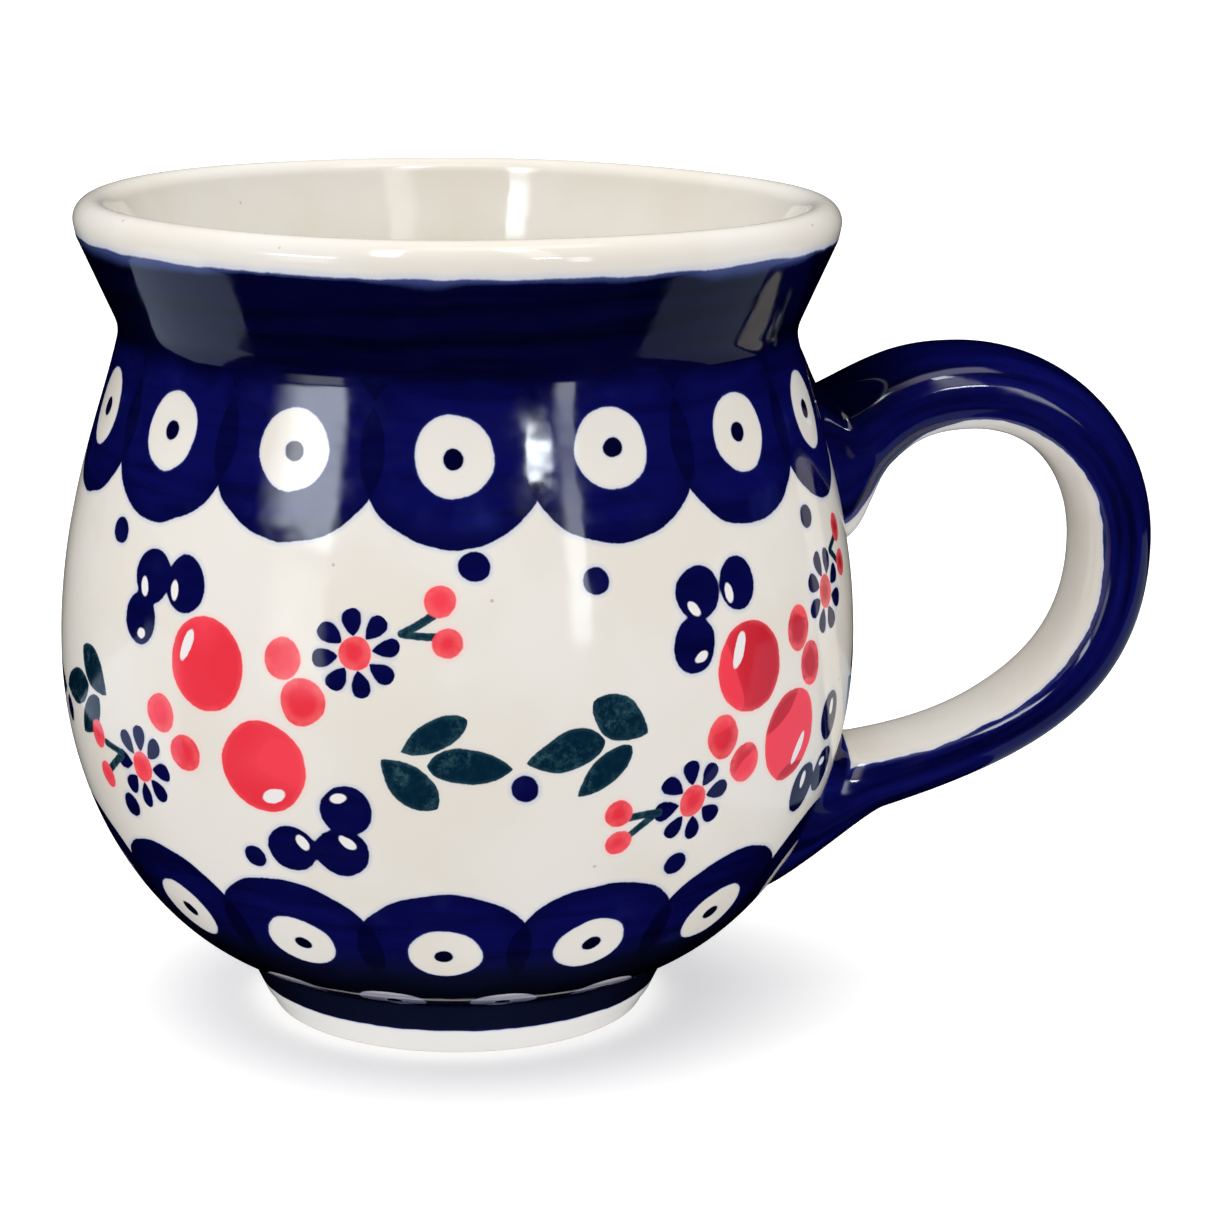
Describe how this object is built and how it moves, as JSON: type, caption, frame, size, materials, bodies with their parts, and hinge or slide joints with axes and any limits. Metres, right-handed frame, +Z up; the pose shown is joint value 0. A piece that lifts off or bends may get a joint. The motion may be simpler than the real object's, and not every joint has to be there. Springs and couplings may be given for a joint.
{
  "type": "stoneware mug",
  "caption": "Round-bellied stoneware mug with a flared neck, a turned foot and one looped strap handle, painted in cobalt, red and green under clear glaze.",
  "frame": {"origin": "centre of the foot ring's underside, on the mug's axis", "axes": "+Z up along the mug's axis, +X towards the handle, -Y towards the side that is seen with the handle on the right"},
  "size_m": [0.1416, 0.1016, 0.1048],
  "materials": {
    "stoneware": "fired biscuit under the glaze",
    "foot_stoneware": "smooth, thinly glazed",
    "liner_glaze": "clear gloss over cream clay",
    "painted_glaze": "clear gloss over painted cobalt, red and green",
    "handle_stoneware": "gloss cobalt, cream on the inner face",
    "joint_slip": "gloss cobalt"
  },
  "bodies": {
    "root": {"body": "stoneware", "foot_ring": "foot_stoneware", "liner_glaze": "liner_glaze", "outer_glaze": "painted_glaze", "handle": "handle_stoneware", "upper_slip_joint": "joint_slip", "lower_slip_joint": "joint_slip"}
  },
  "joints": []
}
